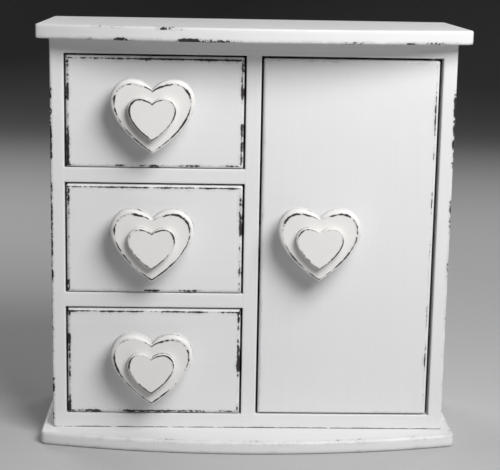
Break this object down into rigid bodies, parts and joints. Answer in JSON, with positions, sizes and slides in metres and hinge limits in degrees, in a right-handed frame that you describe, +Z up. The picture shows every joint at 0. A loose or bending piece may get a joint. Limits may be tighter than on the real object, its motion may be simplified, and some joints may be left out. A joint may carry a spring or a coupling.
{
  "type": "jewellery chest",
  "caption": "Small painted wooden jewellery chest: stacked flush drawers beside a tall flush door, heart knobs, and bow-fronted boards above and below.",
  "frame": {"origin": "middle of the footprint of the whole chest, on the surface it stands on", "axes": "+Z up, +Y from the front to the back, so the drawers slide out along -Y; +X to the right seen from the front, towards the door's pins"},
  "size_m": [0.277, 0.128, 0.2776],
  "materials": {
    "white_paint": "satin white paint on board, rubbed through to a dark undercoat along the edges",
    "cream_paint": "satin off-white paint, rubbed through on the rims",
    "bare_wood": "unpainted pale timber and thin plywood",
    "back_board": "thin white painted hardboard",
    "steel": "zinc plated",
    "magnet": "nickel plated",
    "brass": "polished brass"
  },
  "bodies": {
    "carcass": {"base_board": "white_paint", "top_board": "white_paint", "side_panel_left": "white_paint", "side_panel_right": "white_paint", "carcass_top": "white_paint", "carcass_bottom": "white_paint", "divider": "white_paint", "drawer_shelf_upper": "white_paint", "drawer_shelf_lower": "white_paint", "back_panel": "back_board", "back_panel_screw_1": "steel", "back_panel_screw_2": "steel", "back_panel_screw_3": "steel", "back_panel_screw_4": "steel", "back_panel_screw_5": "steel", "back_panel_screw_6": "steel", "catch_block": "white_paint", "catch_magnet": "magnet", "peg_rail": "white_paint", "necklace_peg_1": "brass", "necklace_peg_2": "brass", "necklace_peg_3": "brass", "necklace_peg_4": "brass"},
    "drawer_lower": {"drawer_lower_front": "white_paint", "drawer_lower_side_left": "bare_wood", "drawer_lower_side_right": "bare_wood", "drawer_lower_back": "bare_wood", "drawer_lower_floor": "bare_wood", "drawer_lower_knob_post": "cream_paint", "drawer_lower_knob_heart_outer": "cream_paint", "drawer_lower_knob_heart_inner": "cream_paint", "drawer_lower_knob_screw": "steel"},
    "drawer_middle": {"drawer_middle_front": "white_paint", "drawer_middle_side_left": "bare_wood", "drawer_middle_side_right": "bare_wood", "drawer_middle_back": "bare_wood", "drawer_middle_floor": "bare_wood", "drawer_middle_knob_post": "cream_paint", "drawer_middle_knob_heart_outer": "cream_paint", "drawer_middle_knob_heart_inner": "cream_paint", "drawer_middle_knob_screw": "steel"},
    "drawer_upper": {"drawer_upper_front": "white_paint", "drawer_upper_side_left": "bare_wood", "drawer_upper_side_right": "bare_wood", "drawer_upper_back": "bare_wood", "drawer_upper_floor": "bare_wood", "drawer_upper_knob_post": "cream_paint", "drawer_upper_knob_heart_outer": "cream_paint", "drawer_upper_knob_heart_inner": "cream_paint", "drawer_upper_knob_screw": "steel"},
    "door": {"door_panel": "white_paint", "door_pin_lower": "steel", "door_pin_upper": "steel", "door_knob_post": "cream_paint", "door_knob_heart_outer": "cream_paint", "door_knob_heart_inner": "cream_paint", "door_knob_screw": "steel", "door_strike_plate": "steel"}
  },
  "joints": [
    {"name": "drawer_lower_slide", "type": "slide", "parent": "carcass", "child": "drawer_lower", "axis": [0, -1, 0], "range_m": [0, 0.075]},
    {"name": "drawer_middle_slide", "type": "slide", "parent": "carcass", "child": "drawer_middle", "axis": [0, -1, 0], "range_m": [0, 0.075]},
    {"name": "drawer_upper_slide", "type": "slide", "parent": "carcass", "child": "drawer_upper", "axis": [0, -1, 0], "range_m": [0, 0.075]},
    {"name": "door_hinge", "type": "hinge", "parent": "carcass", "child": "door", "pos_m": [0.11525, -0.0315, 0.1388], "axis": [0, 0, 1], "range_deg": [0, 105]}
  ]
}
